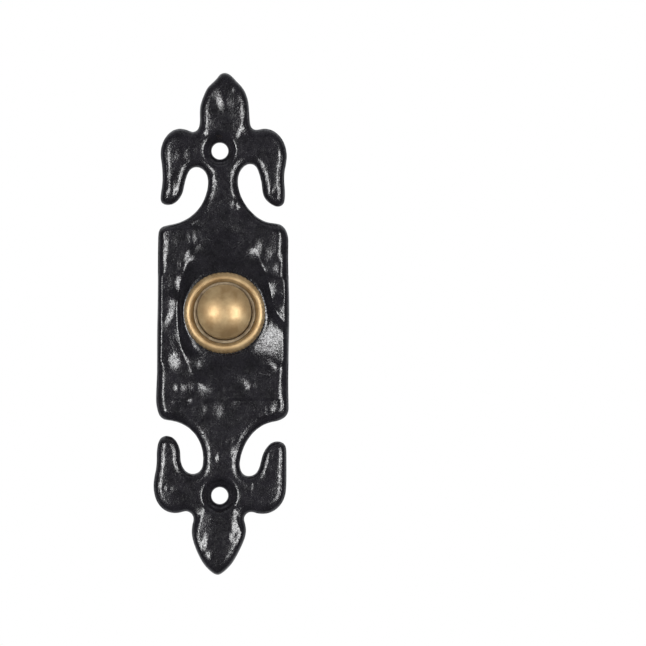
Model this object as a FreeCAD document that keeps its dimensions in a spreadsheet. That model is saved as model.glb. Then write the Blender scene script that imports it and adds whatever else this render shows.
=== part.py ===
import FreeCAD, Part
import math
import os
import re
import Sketcher
from FreeCAD import Rotation, Vector

# A door bell push: a brass push button clamped in a black cast iron plate with a fleur-de-lis at each end.
# Millimetres. The push's axis is Y, its face looks towards -Y, and the wall is the plane y = 0.
# The origin is on the push's axis, in the plane of the wall.

doc = FreeCAD.newDocument("BellPush")
sheet = doc.addObject("Spreadsheet::Sheet", "Sizes")

SIZES = [
    # the cast plate
    ("plate_thickness", 4.7, "plate, back to front"),
    ("edge_bevel", 1.4, "bevel that rolls the face over into the sides"),
    ("plate_shift", -0.5, "plate's centre line from the push's axis"),
    ("body_width", 37.0, "the oblong middle of the plate"),
    ("body_top", 24.7, "its upper corners above the push"),
    ("body_bottom", 29.4, "its lower corners below the push"),
    ("top_screw_height", 45.5, "upper screw hole above the push"),
    ("bottom_screw_depth", 50.6, "lower screw hole below the push"),
    ("screw_shift", -0.9, "screw holes from the plate's centre line"),
    ("top_fleur_span", 35.1, "upper fleur, wing to wing"),
    ("bottom_fleur_span", 37.0, "lower fleur, wing to wing"),
    ("top_bud_reach", 21.8, "upper bud's tip beyond its screw hole"),
    ("bottom_bud_reach", 22.1, "lower bud's tip beyond its screw hole"),
    ("screw_hole", 4.7, "screw holes, clear of a No. 8 wood screw"),
    ("top_sink", 8.8, "upper countersink, across the mouth"),
    ("bottom_sink", 9.7, "lower countersink, across the mouth"),
    ("boss_rise", 2.0, "swelling round the push, above the plate's face"),
    ("boss_seat", 23.6, "flat top of the swelling, where the ring bears"),
    ("boss_wide", 33.6, "foot of the swelling, across the plate"),
    ("boss_tall", 41.0, "foot of the swelling, along the plate"),
    # the brass barrel with its threaded neck
    ("barrel_length", 5.8, "wall plane to the barrel's rear rim"),
    ("barrel_wall", 0.85, "barrel's side wall"),
    ("barrel_front", 0.6, "barrel's front wall, round the neck"),
    ("gasket_thickness", 0.6, "gasket between the plate and the barrel's front wall"),
    ("gasket_set", 0.2, "gasket's edge inside the barrel's side, all round"),
    ("recess_depth", 0.3, "gasket's seat in the plate's back"),
    ("recess_gap", 0.5, "barrel's side to the recess's wall, all round"),
    ("neck_width", 17.1, "threaded neck, outside"),
    ("neck_bore", 15.4, "neck, inside"),
    ("neck_recess", 0.45, "neck's end below the ring's face"),
    ("neck_gap", 0.25, "neck to the hole in the plate, all round"),
    ("thread_gap", 0.05, "running clearance in a thread, all round"),
    # the knurled ring nut
    ("ring_width", 22.6, "over the knurl"),
    ("ring_thickness", 4.1, "seat to face"),
    ("ring_crest", 19.4, "diameter of the face's crest"),
    ("ring_bevel", 0.9, "depth of the bevel outside the crest"),
    ("ring_chamfer", 0.3, "chamfer at the ring's seat"),
    ("knurl_depth", 0.35, "ridge to groove"),
    ("knurl_ridges", 54, "ridges round the ring"),
    ("knurl_lead", 12, "degrees that a ridge turns from the ring's face to its seat"),
    # the push
    ("cap_width", 15.0, "cap, outside"),
    ("cap_stand", 6.4, "cap's shoulder in front of the ring's face"),
    ("dome_radius", 14.7, "radius of the domed face"),
    ("cap_wall", 0.7, "cap's skirt"),
    ("cap_crown", 0.6, "metal behind the dome's shoulder"),
    ("flange_width", 18.4, "retaining flange behind the neck"),
    ("flange_thickness", 0.8, "retaining flange"),
    ("flange_gap", 1.05, "flange's edge to the barrel's side wall, all round"),
    ("flange_step", 0.35, "step on the cap's rear end that the flange sits on"),
    ("flange_fit", 0.02, "flange to the step, all round"),
    ("stem_width", 3.6, "stem inside the cap"),
    ("stem_set", 0.8, "stem's end in front of the flange's front face"),
    ("stud_width", 1.6, "threaded end of the stem"),
    ("press_travel", 2.2, "how far the push goes in"),
    ("washer_width", 6.0, "insulating washer"),
    ("washer_thickness", 0.45, "insulating washer"),
    ("disc_width", 12.6, "contact disc"),
    ("disc_thickness", 0.5, "contact disc"),
    ("disc_nut_flats", 2.9, "nut behind the disc, across its flats"),
    ("disc_nut_height", 1.0, "nut behind the disc"),
    ("stud_end", 0.25, "stem's thread beyond its nut"),
    ("contact_gap", 0.05, "disc to the terminal studs when pressed home"),
    ("spring_mean", 4.2, "return spring, wire centre to wire centre"),
    ("spring_wire", 0.4, "return spring's wire"),
    ("spring_turns", 3, "return spring's turns"),
    ("spring_end_gap", 0.03, "return spring's ends to their seats"),
    # the ceramic base and its terminals
    ("insert_turn", 19, "degrees that the terminals are turned about the axis"),
    ("ceramic_set", 0.3, "ceramic's side inside the barrel's, all round"),
    ("ceramic_length", 4.8, "ceramic behind the barrel"),
    ("spigot_gap", 0.05, "ceramic to the barrel's wall, all round"),
    ("well_width", 5.0, "spring's seat in the ceramic"),
    ("well_depth", 1.0, "spring's seat in the ceramic"),
    ("terminal_pitch", 8.9, "terminal to terminal"),
    ("block_side", 5.4, "terminal block, square"),
    ("block_length", 6.5, "terminal block"),
    ("wire_hole", 3.4, "cross hole for the wire"),
    ("wire_hole_set", 2.2, "cross hole's centre from the ceramic"),
    ("foot_length", 2.3, "foot on the block's inner side"),
    ("foot_rise", 0.5, "foot on the block's inner side"),
    ("terminal_stud", 2.4, "block's stud through the ceramic"),
    ("terminal_nut_flats", 3.5, "nut inside the barrel, across its flats"),
    ("terminal_nut_height", 1.2, "nut inside the barrel"),
    ("terminal_stud_end", 0.2, "stud beyond its nut"),
    ("clamp_thread", 2.9, "clamping screw's thread"),
    ("clamp_tip_set", 0.15, "clamping screw's tip short of the wire hole"),
    ("clamp_collar", 0.6, "thread showing behind the block"),
    ("clamp_neck", 2.1, "undercut below the head"),
    ("clamp_neck_length", 1.2, "undercut below the head"),
    ("clamp_head", 4.4, "screw head"),
    ("clamp_head_height", 1.9, "screw head"),
    ("slot_width", 0.7, "screwdriver slot"),
    ("slot_depth", 0.9, "screwdriver slot"),
]
OVERRUN = 1  # how far a cutting tool runs past the metal that it cuts
TERMINALS = [("upper", 1), ("lower", -1)]
SLOT_TURNS = {"upper": 35, "lower": 70}  # degrees that each clamping screw's slot is turned, as it was left

for row, (alias, value, meaning) in enumerate(SIZES, 1):
    sheet.set(f"A{row}", meaning)
    sheet.set(f"B{row}", str(value))
    sheet.setAlias(f"B{row}", alias)
doc.recompute()


def size(alias):
    return float(sheet.get(alias))


# Widths and places along the push's axis, each worked out in the sheet from the sizes above
LEVELS = [
    ("barrel_width", "flange_width + 2 * flange_gap + 2 * barrel_wall"),
    ("ceramic_width", "barrel_width - 2 * ceramic_set"),
    ("plate_face", "-plate_thickness"),
    ("ring_seat", "plate_face - boss_rise"),
    ("ring_face", "ring_seat - ring_thickness"),
    ("neck_end", "ring_face + neck_recess"),
    ("cap_shoulder", "ring_face - cap_stand"),
    ("dome_tip", "cap_shoulder - dome_radius + sqrt(dome_radius^2 - (cap_width / 2)^2)"),
    ("barrel_shoulder", "gasket_thickness - recess_depth"),
    ("flange_front", "barrel_shoulder + barrel_front"),
    ("flange_back", "flange_front + flange_thickness"),
    ("stem_end", "flange_front - stem_set"),
    ("disc_front", "stem_end + washer_thickness"),
    ("disc_back", "disc_front + disc_thickness"),
    ("nut_back", "disc_back + disc_nut_height"),
    ("terminal_stud_tip", "disc_back + press_travel + contact_gap"),
    ("ceramic_front", "terminal_stud_tip + terminal_stud_end + terminal_nut_height"),
    ("ceramic_step", "barrel_length"),
    ("well_floor", "ceramic_front + well_depth"),
    ("ceramic_back", "ceramic_step + ceramic_length"),
    ("wire_level", "ceramic_back + wire_hole_set"),
    ("block_back", "ceramic_back + block_length"),
    ("clamp_tip", "wire_level + wire_hole / 2 + clamp_tip_set"),
    ("collar_back", "block_back + clamp_collar"),
    ("head_front", "collar_back + clamp_neck_length"),
    ("head_back", "head_front + clamp_head_height"),
]
first_level = len(SIZES) + 2
for row, (alias, formula) in enumerate(LEVELS, first_level):
    sheet.set(f"A{row}", "worked out")
    sheet.set(f"B{row}", "=" + formula)
    sheet.setAlias(f"B{row}", alias)
    doc.recompute()


def bind(obj, **formulas):
    """Tie an object's properties to formulas on the sheet; a double underscore stands for a dot."""
    for name, formula in formulas.items():
        obj.setExpression(name.replace("__", "."), tied(formula))
    return obj


def tied(formula):
    """Put the sheet's name before each alias in a formula; every alias has an underscore in it."""
    return re.sub(r"[a-z]+(_[a-z]+)+", r"Sizes.\g<0>", formula)


# A turned piece: a closed profile of (radius, level), spun round the push's axis
def turned(label, profile):
    body = doc.addObject("PartDesign::Body", label + "_body")
    sketch = body.newObject("Sketcher::SketchObject", label + "_profile")
    plane = next(f for f in body.Origin.OriginFeatures if f.Role == "XY_Plane")
    sketch.AttachmentSupport = [(plane, "")]
    sketch.MapMode = "FlatFace"
    count = len(profile)
    start = [Vector(10 + 5 * math.cos(a), 5 * math.sin(a), 0) for a in
             (2 * math.pi * i / count for i in range(count))]
    for i in range(count):
        sketch.addGeometry(Part.LineSegment(start[i], start[(i + 1) % count]))
    for i in range(count):
        sketch.addConstraint(Sketcher.Constraint("Coincident", i, 2, (i + 1) % count, 1))
    for i, (radius, level) in enumerate(profile):
        for kind, axis, formula, place in (
            ("DistanceX", -2, radius, start[i].x),
            ("DistanceY", -1, level, start[i].y),
        ):
            if formula == "0":
                sketch.addConstraint(Sketcher.Constraint("PointOnObject", i, 1, axis))
            else:
                datum = sketch.addConstraint(Sketcher.Constraint(kind, -1, 1, i, 1, place))
                sketch.setExpression(f"Constraints[{datum}]", tied(formula))
    turning = body.newObject("PartDesign::Revolution", label + "_turning")
    turning.Profile = sketch
    turning.ReferenceAxis = (sketch, ["V_Axis"])
    turning.Angle = 360
    sketch.Visibility = False
    return body


def cylinder(label, radius, start, end, x="0", z="0"):
    """A cylinder along Y from one level to another."""
    rod = doc.addObject("Part::Cylinder", label)
    rod.Placement.Rotation = Rotation(Vector(1, 0, 0), -90)
    return bind(rod, Radius=radius, Height=f"({end}) - ({start})",
                Placement__Base__x=x, Placement__Base__y=start, Placement__Base__z=z)


def box(label, width, depth, height, x, y, z):
    block = doc.addObject("Part::Box", label)
    return bind(block, Length=width, Width=depth, Height=height,
                Placement__Base__x=x, Placement__Base__y=y, Placement__Base__z=z)


def cut(label, base, *tools):
    result = doc.addObject("Part::Cut", label)
    result.Base = base
    result.Tool = tools[0] if len(tools) == 1 else fuse(label + "_tools", *tools)
    return result


def fuse(label, *shapes):
    result = doc.addObject("Part::MultiFuse", label)
    result.Shapes = list(shapes)
    return result


def common(label, base, tool):
    result = doc.addObject("Part::Common", label)
    result.Base, result.Tool = base, tool
    return result


def prism(label, flats, start, end):
    """A hexagonal bar along Y."""
    bar = doc.addObject("Part::Prism", label)
    bar.Polygon = 6
    bar.Placement.Rotation = Rotation(Vector(1, 0, 0), -90)
    return bind(bar, Circumradius=f"{flats} / sqrt(3)", Height=f"({end}) - ({start})",
                Placement__Base__y=start)


def shape_of(label, shape):
    """A piece whose form no stock feature gives."""
    made = doc.addObject("Part::Feature", label)
    made.Shape = shape
    return made


# The plate's outline. Points are (across from the plate's centre line, outwards from the screw hole).
# Each fleur runs from the bud's tip over one wing, round the gap and to the neck's narrowest place.
TOP_BUD_TIP = (0.5, 21.8)
TOP_RIGHT = [
    (3.4, 19.4), (7.25, 11.9), (7.5, 8.1), (8.0, 6.4), (11.7, 6.2), (15.6, 4.4), (17.8, -1.6), (17.1, -6.7),
    (17.3, -12.6), (16.5, -15.2), (12.5, -14.2), (10.4, -7.5), (7.5, -3.6), (5.3, -4.9), (4.25, -7.3),
]
TOP_LEFT = [
    (-2.4, 19.4), (-6.5, 11.5), (-6.55, 7.7), (-7.2, 5.8), (-11.7, 6.2), (-16.7, 2.7), (-16.9, -7.3),
    (-17.35, -11.9), (-17.1, -14.5), (-15.2, -15.1), (-11.4, -11.9), (-10.6, -8.6), (-7.7, -4.5), (-5.5, -5.3),
    (-4.3, -7.6),
]
BOTTOM_BUD_TIP = (-1.5, 22.1)
BOTTOM_RIGHT = [
    (0.2, 21.3), (5.5, 13.4), (6.45, 9.8), (6.5, 5.1), (11.0, 5.15), (16.8, 1.4), (17.7, -4.6), (17.7, -11.6),
    (17.1, -14.3), (15.1, -15.1), (11.3, -11.9), (10.3, -8.4), (9.2, -6.2), (7.2, -5.4), (5.7, -5.9), (4.85, -7.4),
]
BOTTOM_LEFT = [
    (-3.2, 21.3), (-8.0, 13.6), (-8.7, 9.8), (-8.8, 5.0), (-13.7, 4.9), (-17.4, 3.1), (-19.3, -3.4), (-18.5, -8.6),
    (-18.25, -13.7), (-16.9, -16.3), (-15.2, -16.6), (-12.1, -13.2), (-11.6, -9.0), (-9.4, -6.2), (-6.4, -6.8),
    (-5.55, -9.2),
]
# From the neck out to a corner of the oblong middle, as shares of the way across and along
SHOULDER = [(0.02, 0.28), (0.28, 0.70), (0.70, 0.935)]
# Round each corner and on to the side, measured from the corner itself, inwards and then along the side
TOP_RIGHT_CORNER = [(2.0, 0.1), (0.6, 2.2), (0.3, 6.2), (0.1, 18.0)]
TOP_LEFT_CORNER = [(3.4, -0.1), (1.1, 0.8), (0.4, 3.7), (0.3, 18.0)]
BOTTOM_RIGHT_CORNER = [(2.4, -0.1), (0.6, 1.4), (0.2, 4.4), (0.1, 22.0)]
BOTTOM_LEFT_CORNER = [(4.2, -0.4), (1.4, 0.4), (0.2, 2.8), (0.0, 10.0), (0.1, 20.0)]


def fleur_halves(right, left, tip, span, reach, up):
    """One fleur's two halves, fitted to its span and its bud's reach and set on its screw hole."""
    across = [x for x, _ in right + left]
    widen = span / (max(across) - min(across))
    hole = size("top_screw_height") if up > 0 else -size("bottom_screw_depth")

    def place(point):
        x, out = point
        out *= reach / tip[1] if out > 0 else 1
        return Vector(size("plate_shift") + x * widen, 0, hole + up * out)

    return [place(p) for p in right], [place(p) for p in left], place(tip)


def shoulder(neck, corner_round, side, up):
    """Points from the neck out to a corner and on along the side of the oblong middle."""
    corner = Vector(size("plate_shift") + side * size("body_width") / 2, 0,
                    size("body_top") if up > 0 else -size("body_bottom"))
    rounded = [Vector(corner.x - side * inwards, 0, corner.z - up * along) for inwards, along in corner_round]
    way = rounded[0] - neck
    return [Vector(neck.x + way.x * x, 0, neck.z + way.z * z) for x, z in SHOULDER] + rounded


def outline_points():
    """The plate's outline, clockwise from the upper bud as the wall is faced."""
    right, left, tip = fleur_halves(
        TOP_RIGHT, TOP_LEFT, TOP_BUD_TIP, size("top_fleur_span"), size("top_bud_reach"), 1)
    low_right, low_left, low_tip = fleur_halves(
        BOTTOM_RIGHT, BOTTOM_LEFT, BOTTOM_BUD_TIP, size("bottom_fleur_span"), size("bottom_bud_reach"), -1)
    return (
        right
        + shoulder(right[-1], TOP_RIGHT_CORNER, 1, 1)
        + shoulder(low_right[-1], BOTTOM_RIGHT_CORNER, 1, -1)[::-1]
        + low_right[::-1] + [low_tip] + low_left
        + shoulder(low_left[-1], BOTTOM_LEFT_CORNER, -1, -1)
        + shoulder(left[-1], TOP_LEFT_CORNER, -1, 1)[::-1]
        + left[::-1] + [tip]
    )


def tangent_arc(start, way, end):
    """The arc that leaves start along a direction and ends at end."""
    chord = end - start
    aside = way - chord * (way.dot(chord) / chord.dot(chord))
    lean = way.getAngle(chord)
    middle = start + chord / 2 + aside.normalize() * (chord.Length / 2 * math.tan(lean / 2))
    return Part.Arc(start, middle, end).toShape()


def arc_pair(start, way, end, end_way):
    """Two arcs that meet smoothly and join two points along the outline's direction at each."""
    span = end - start
    ways = way + end_way
    spread = 2 * (1 - way.dot(end_way))
    reach = (math.sqrt(span.dot(ways) ** 2 + spread * span.dot(span)) - span.dot(ways)) / spread
    joint = (start + end + (way - end_way) * reach) / 2
    return [tangent_arc(start, way, joint), tangent_arc(end, -end_way, joint)]


def smooth_wire(points):
    """A closed chain of tangent arcs through points, with the directions of a smooth curve through them."""
    curve = Part.BSplineCurve()
    curve.interpolate(points, True)
    ways = [curve.tangent(knot)[0] for knot in curve.getKnots()[:-1]]
    arcs = []
    for i in range(len(points)):
        arcs += arc_pair(points[i - 1], ways[i - 1], points[i], ways[i])
    return Part.Wire(Part.__sortEdges__(arcs))


def plate_slab():
    """The flat casting, with its front edge bevelled all round."""
    slab = doc.addObject("Part::Extrusion", "plate_slab")
    slab.Base = shape_of("plate_outline", smooth_wire(outline_points()))
    slab.DirMode = "Custom"
    slab.Dir = Vector(0, -1, 0)
    slab.Solid = True
    bind(slab, LengthFwd="plate_thickness")
    doc.recompute()
    bevelled = doc.addObject("Part::Chamfer", "plate_bevelled")
    bevelled.Base = slab
    bevel = size("edge_bevel")
    bevelled.Edges = [(i, bevel, bevel) for i, edge in enumerate(slab.Shape.Edges, 1)
                      if edge.BoundBox.YMax < size("plate_face") / 2]
    return bevelled


def oval(wide, tall, level):
    """An ellipse about the push's axis, as a wire."""
    flat = Part.Ellipse(Vector(0, 0, 0), max(wide, tall) / 2, min(wide, tall) / 2).toShape()
    if tall >= wide:
        flat.rotate(Vector(0, 0, 0), Vector(0, 0, 1), 90)
    flat.rotate(Vector(0, 0, 0), Vector(1, 0, 0), 90)
    flat.translate(Vector(0, level, 0))
    return Part.Wire([flat])


def plate_boss():
    """The swelling round the push, from an oval foot in the plate's face to the ring's round seat."""
    seat = size("boss_seat")
    foot = oval(size("boss_wide"), size("boss_tall"), size("plate_face"))
    return Part.makeLoft([foot, oval(seat, seat, size("ring_seat"))], True)


# Hammer marks on the oblong middle: (across, up, width, depth), from the push's axis
HAMMER_MARKS = [
    (-9.5, 22.0, 9.0, 0.35), (7.0, 21.5, 8.0, 0.3), (-12.5, -22.0, 8.5, 0.35), (5.5, -22.5, 10.0, 0.35),
    (-4.0, -27.0, 7.0, 0.3), (12.0, -24.5, 7.0, 0.3), (0.2, 30.5, 6.0, 0.25), (-0.3, -34.5, 6.5, 0.25),
]


def hammer_mark(across, up, width, depth):
    radius = (width**2 / 4 + depth**2) / (2 * depth)
    return Part.makeSphere(radius, Vector(across, size("plate_face") + depth - radius, up))


def countersunk_hole(name, height, sink):
    """The tools for one screw hole with a right-angled countersink."""
    x = "plate_shift + screw_shift"
    drill = cylinder(name + "_drill", "screw_hole / 2", f"plate_face - {OVERRUN}", f"{OVERRUN}", x, height)
    cone = doc.addObject("Part::Cone", name + "_countersink")
    cone.Placement.Rotation = Rotation(Vector(1, 0, 0), -90)
    bind(cone, Radius1=f"{sink} / 2", Radius2="screw_hole / 2", Height=f"({sink} - screw_hole) / 2",
         Placement__Base__x=x, Placement__Base__y="plate_face", Placement__Base__z=height)
    return [drill, cone]


def make_backplate():
    blank = fuse("plate_blank", plate_slab(), shape_of("plate_boss", plate_boss()))
    marks = shape_of("hammer_marks", Part.makeCompound([hammer_mark(*mark) for mark in HAMMER_MARKS]))
    struck = cut("plate_struck", blank, marks)
    bore = cylinder("plate_bore", "neck_width / 2 + neck_gap", f"ring_seat - {OVERRUN}", f"{OVERRUN}")
    recess = cylinder("plate_recess", "barrel_width / 2 + recess_gap", "-recess_depth", f"{OVERRUN}")
    return cut("backplate", struck, bore, recess,
               *countersunk_hole("top_hole", "top_screw_height", "top_sink"),
               *countersunk_hole("bottom_hole", "-bottom_screw_depth", "bottom_sink"))


def make_gasket():
    return turned("gasket", [
        ("neck_width / 2 + neck_gap", "-recess_depth"), ("barrel_width / 2 - gasket_set", "-recess_depth"),
        ("barrel_width / 2 - gasket_set", "barrel_shoulder"), ("neck_width / 2 + neck_gap", "barrel_shoulder"),
    ])


def make_barrel():
    """A spun cup with the threaded neck standing on its front wall."""
    return turned("barrel", [
        ("neck_bore / 2", "neck_end"), ("neck_width / 2", "neck_end"),
        ("neck_width / 2", "barrel_shoulder"), ("barrel_width / 2", "barrel_shoulder"),
        ("barrel_width / 2", "barrel_length"), ("barrel_width / 2 - barrel_wall", "barrel_length"),
        ("barrel_width / 2 - barrel_wall", "flange_front"), ("neck_bore / 2", "flange_front"),
    ])


def make_push_cap():
    """A domed cap with a step for its flange, turned in one piece with its stem and threaded stud."""
    blank = turned("cap_blank", [
        ("0", f"dome_tip - {OVERRUN}"), ("cap_width / 2", f"dome_tip - {OVERRUN}"),
        ("cap_width / 2", "flange_front"), ("cap_width / 2 - flange_step", "flange_front"),
        ("cap_width / 2 - flange_step", "flange_back"), ("cap_width / 2 - cap_wall", "flange_back"),
        ("cap_width / 2 - cap_wall", "cap_shoulder + cap_crown"), ("stem_width / 2", "cap_shoulder + cap_crown"),
        ("stem_width / 2", "stem_end"), ("stud_width / 2", "stem_end"),
        ("stud_width / 2", "nut_back + stud_end"), ("0", "nut_back + stud_end"),
    ])
    dome = bind(doc.addObject("Part::Sphere", "dome"), Radius="dome_radius",
                Placement__Base__y="dome_tip + dome_radius")
    return common("push_cap", blank, dome)


def make_push_flange():
    """The ring on the cap's rear end that keeps the cap behind the neck."""
    return turned("push_flange", [
        ("cap_width / 2 - flange_step + flange_fit", "flange_front"), ("flange_width / 2", "flange_front"),
        ("flange_width / 2", "flange_back"), ("cap_width / 2 - flange_step + flange_fit", "flange_back"),
    ])


def make_insulating_washer():
    return turned("insulating_washer", [
        ("stud_width / 2 + thread_gap", "stem_end"), ("washer_width / 2", "stem_end"),
        ("washer_width / 2", "disc_front"), ("stud_width / 2 + thread_gap", "disc_front"),
    ])


def make_contact_disc():
    return turned("contact_disc", [
        ("stud_width / 2 + thread_gap", "disc_front"), ("disc_width / 2", "disc_front"),
        ("disc_width / 2", "disc_back"), ("stud_width / 2 + thread_gap", "disc_back"),
    ])


def make_disc_nut():
    return cut("disc_nut", prism("disc_nut_bar", "disc_nut_flats", "disc_back", "nut_back"),
               cylinder("disc_nut_thread", "stud_width / 2 + thread_gap",
                        f"disc_back - {OVERRUN}", f"nut_back + {OVERRUN}"))


def make_knurled_ring():
    """A ring nut with one set of slanting ridges, bevelled at its face and open at its middle."""
    blank = turned("ring_blank", [
        ("neck_width / 2 + thread_gap", "ring_seat"), ("neck_width / 2 + thread_gap", "neck_end"),
        ("ring_crest / 2", "ring_face"), ("ring_width / 2", "ring_face + ring_bevel"),
        ("ring_width / 2", "ring_seat - ring_chamfer"), ("ring_width / 2 - ring_chamfer", "ring_seat"),
    ])
    return common("knurled_ring", blank, shape_of("knurl", knurl()))


def ridge_star(level, turn):
    """The knurl's section at a level: ridges and grooves in turn, as a closed wire."""
    ridges = int(size("knurl_ridges"))
    points = []
    for i in range(2 * ridges):
        angle = math.pi * i / ridges + math.radians(turn)
        radius = size("ring_width") / 2 - (size("knurl_depth") if i % 2 else 0)
        points.append(Vector(radius * math.cos(angle), level, radius * math.sin(angle)))
    return Part.makePolygon(points + points[:1])


def knurl():
    """A star-shaped bar that turns as it goes, which gives the ring its slanting ridges."""
    lead = size("knurl_lead")
    return Part.makeLoft([ridge_star(size("ring_face"), 0), ridge_star(size("ring_seat"), lead)], True, True)


def wire_section(centre):
    """The spring wire's section, six-sided so that its faces stay simple."""
    across = size("spring_wire")
    corners = [centre + Vector(across / 2 * math.cos(a), across / 2 * math.sin(a), 0)
               for a in (math.pi * i / 3 for i in range(6))]
    return Part.Face(Part.makePolygon(corners + corners[:1]))


def make_return_spring():
    """A coil from the back of the contact disc to the ceramic's well, in half turns that meet smoothly."""
    mean = size("spring_mean")
    inset = size("spring_wire") / 2 + size("spring_end_gap")
    start = size("disc_back") + inset
    half_turns = round(2 * size("spring_turns"))
    rise = (size("well_floor") - inset - start) / half_turns
    halves = []
    for i in range(half_turns):
        side = -1 if i % 2 else 1
        begin = Vector(side * mean / 2, start + i * rise, 0)
        middle = Vector(0, begin.y + rise / 2, 0)
        halves.append(wire_section(begin).revolve(middle, Vector(side * rise, mean, 0), 180))
    return shape_of("return_spring", halves[0].multiFuse(halves[1:]))


def make_ceramic_base():
    """A glazed disc with a spigot in the barrel, a well for the spring and two holes for the terminals."""
    blank = turned("ceramic_blank", [
        ("0", "well_floor"), ("well_width / 2", "well_floor"), ("well_width / 2", "ceramic_front"),
        ("barrel_width / 2 - barrel_wall - spigot_gap", "ceramic_front"),
        ("barrel_width / 2 - barrel_wall - spigot_gap", "ceramic_step"), ("ceramic_width / 2", "ceramic_step"),
        ("ceramic_width / 2", "ceramic_back"), ("0", "ceramic_back"),
    ])
    holes = [cylinder(f"stud_hole_{name}", "terminal_stud / 2 + thread_gap", f"ceramic_front - {OVERRUN}",
                      f"ceramic_back + {OVERRUN}", *terminal_place(sign)) for name, sign in TERMINALS]
    return cut("ceramic_base", blank, *holes)


def terminal_place(sign):
    """A terminal's axis: across and up, turned with the insert."""
    return f"-({sign}) * terminal_pitch / 2 * sin(insert_turn)", f"({sign}) * terminal_pitch / 2 * cos(insert_turn)"


def at_terminal(piece, sign, turn="insert_turn"):
    """Move a piece that was made on the push's axis to a terminal, and turn it with the insert."""
    piece.Placement.Rotation = Rotation(Vector(0, -1, 0), 1)
    across, up = terminal_place(sign)
    return bind(piece, Placement__Base__x=across, Placement__Base__z=up, Placement__Rotation__Angle=turn)


def make_terminal_block(name, sign):
    """A square block with a foot, a stud through the ceramic, a wire hole and a hole for its screw."""
    square = box(f"block_{name}", "block_side", "block_length", "block_side",
                 "-block_side / 2", "ceramic_back", "-block_side / 2")
    foot = box(f"foot_{name}", "block_side", "foot_length", "foot_rise", "-block_side / 2", "ceramic_back",
               "-block_side / 2 - foot_rise" if sign > 0 else "block_side / 2")
    stud = cylinder(f"stud_{name}", "terminal_stud / 2", "terminal_stud_tip", f"ceramic_back + {OVERRUN}")
    wire_bore = doc.addObject("Part::Cylinder", f"wire_bore_{name}")
    wire_bore.Placement.Rotation = Rotation(Vector(0, 1, 0), 90)
    bind(wire_bore, Radius="wire_hole / 2", Height=f"block_side + 2 * {OVERRUN}",
         Placement__Base__x=f"-block_side / 2 - {OVERRUN}", Placement__Base__y="wire_level")
    tapping = cylinder(f"tapping_{name}", "clamp_thread / 2 + thread_gap", "wire_level", f"block_back + {OVERRUN}")
    solid = fuse(f"block_{name}_solid", square, foot, stud)
    return at_terminal(cut(f"terminal_block_{name}", solid, wire_bore, tapping), sign)


def make_terminal_nut(name, sign):
    nut = cut(f"terminal_nut_{name}",
              prism(f"nut_bar_{name}", "terminal_nut_flats", "ceramic_front - terminal_nut_height", "ceramic_front"),
              cylinder(f"nut_thread_{name}", "terminal_stud / 2 + thread_gap",
                       f"ceramic_front - terminal_nut_height - {OVERRUN}", f"ceramic_front + {OVERRUN}"))
    return at_terminal(nut, sign)


def make_terminal_screw(name, sign):
    """A cheese-headed clamping screw, backed out of its block, with an undercut neck."""
    blank = turned(f"screw_{name}", [
        ("0", "clamp_tip"), ("clamp_thread / 2", "clamp_tip"), ("clamp_thread / 2", "collar_back"),
        ("clamp_neck / 2", "collar_back"), ("clamp_neck / 2", "head_front"), ("clamp_head / 2", "head_front"),
        ("clamp_head / 2", "head_back"), ("0", "head_back"),
    ])
    slot = box(f"slot_{name}", "slot_width", f"slot_depth + {OVERRUN}", f"clamp_head + 2 * {OVERRUN}",
               "-slot_width / 2", "head_back - slot_depth", f"-clamp_head / 2 - {OVERRUN}")
    return at_terminal(cut(f"terminal_screw_{name}", blank, slot), sign, f"insert_turn + {SLOT_TURNS[name]}")


def make_all():
    pieces = [
        make_backplate(), make_gasket(), make_barrel(), make_knurled_ring(), make_push_cap(), make_push_flange(),
        make_insulating_washer(), make_contact_disc(), make_disc_nut(), make_return_spring(), make_ceramic_base(),
    ]
    for name, sign in TERMINALS:
        pieces += [make_terminal_block(name, sign), make_terminal_nut(name, sign), make_terminal_screw(name, sign)]
    doc.recompute()
    return pieces


def check(pieces):
    """Stop if a feature failed or a piece isn't one sound solid."""
    failed = [obj.Name for obj in doc.Objects if "Invalid" in obj.State or "Error" in obj.State]
    for piece in pieces:
        shape = piece.Shape
        if shape.isNull() or not shape.isValid() or len(shape.Solids) != 1:
            failed.append(piece.Label)
    if failed:
        raise RuntimeError("these didn't build: " + ", ".join(failed))


def main():
    pieces = make_all()
    for piece in pieces:
        piece.Label = piece.Name.removesuffix("_body")
    check(pieces)
    os.makedirs("parts", exist_ok=True)
    for piece in pieces:
        piece.Shape.exportStep(f"parts/{piece.Label}.step")
        print(f"{piece.Label}: {piece.Shape.Volume:.1f} mm3")


main()
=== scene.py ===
import math

import bmesh
import bpy
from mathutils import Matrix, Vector, kdtree, noise


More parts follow.
